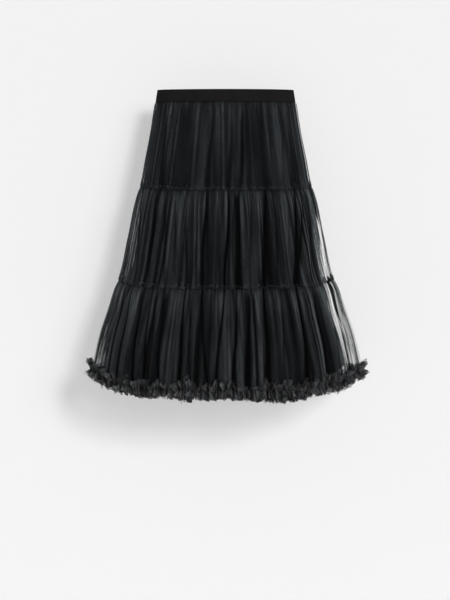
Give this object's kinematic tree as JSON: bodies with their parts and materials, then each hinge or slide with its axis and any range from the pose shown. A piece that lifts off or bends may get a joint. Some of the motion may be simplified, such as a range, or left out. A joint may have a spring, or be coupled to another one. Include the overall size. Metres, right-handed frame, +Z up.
{
  "type": "tiered net midi skirt with a ruffled hem",
  "caption": "Black midi skirt hanging by its elastic waistband: gathered net tiers over an opaque lining, with a frilled hem.",
  "frame": {"origin": "middle of the waistband's top edge, where the skirt is held", "axes": "+Z up, the skirt hangs to -Z; +X across, to the viewer's right; the front faces -Y"},
  "size_m": [0.674, 0.3377, 0.7485],
  "materials": {
    "elastic": "matt black ribbed elastic",
    "net": "soft black net, sheer, faint sheen",
    "lining": "opaque matt black lining"
  },
  "bodies": {
    "root": {"waistband": "elastic", "upper_tier": "net", "middle_tier": "net", "lower_tier": "net", "hem_ruffle": "net", "lining": "lining"}
  },
  "joints": []
}
